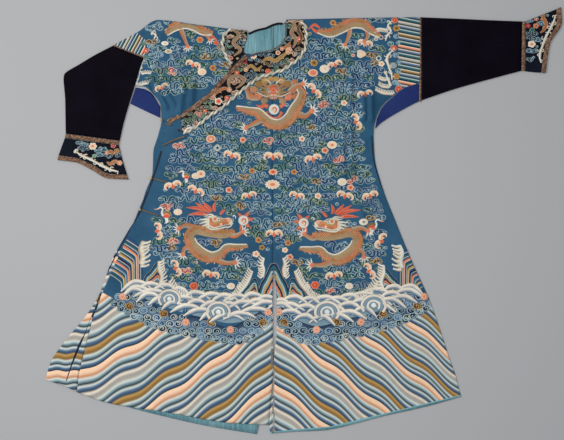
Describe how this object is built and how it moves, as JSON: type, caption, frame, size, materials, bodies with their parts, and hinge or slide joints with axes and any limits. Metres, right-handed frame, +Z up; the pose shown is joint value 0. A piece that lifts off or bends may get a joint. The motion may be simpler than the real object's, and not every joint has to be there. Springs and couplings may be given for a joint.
{
  "type": "chinese dragon robe",
  "caption": "Full-length side-fastening formal robe laid flat, front up, with embroidered dragons, dark lower sleeves, horse-hoof cuffs and a wave-and-stripe hem.",
  "frame": {"origin": "centre of the laid robe's box, on the surface it lies on", "axes": "+X towards the wearer's left sleeve, +Y up the robe towards the shoulders, +Z up off the surface, out of the robe's front"},
  "size_m": [1.7542, 1.4508, 0.017],
  "materials": {
    "robe_silk": "blue silk satin with couched gold and floss embroidery",
    "lining_silk": "light blue pongee lining",
    "gusset_silk": "plain cobalt silk",
    "sleeve_silk": "plain very dark purple ribbed silk",
    "trim_black": "black satin with fine embroidery",
    "brocade": "brown and gold brocade ribbon",
    "rope_silk": "cream couched silk cord",
    "dark_knot": "dark red knotted silk cord",
    "brass": "gilt brass, worn"
  },
  "bodies": {
    "root": {"back_left": "robe_silk", "back_right": "robe_silk", "front_left": "robe_silk", "front_under": "robe_silk", "front_overlap": "robe_silk", "overlap_gore": "robe_silk", "lining_left": "lining_silk", "lining_right": "lining_silk", "gusset_left": "gusset_silk", "gusset_right": "gusset_silk", "sleeve_left": "sleeve_silk", "sleeve_right": "sleeve_silk", "cuff_left": "trim_black", "cuff_right": "trim_black", "collar_neck": "trim_black", "collar_overlap": "trim_black", "back_neck_binding": "trim_black", "sleeve_piping_left": "brocade", "sleeve_piping_right": "brocade", "cuff_band_left": "brocade", "cuff_band_right": "brocade", "cuff_binding_left": "brocade", "cuff_binding_right": "brocade", "overlap_binding": "brocade", "neck_binding": "brocade", "loop_corner": "brocade", "loop_band_end": "brocade", "loop_side_upper": "brocade", "loop_side_lower": "brocade", "rope_neck": "rope_silk", "rope_overlap": "rope_silk", "button_neck": "dark_knot", "button_band_end": "dark_knot", "button_corner": "brass", "button_side_upper": "brass", "button_side_lower": "brass"}
  },
  "joints": []
}
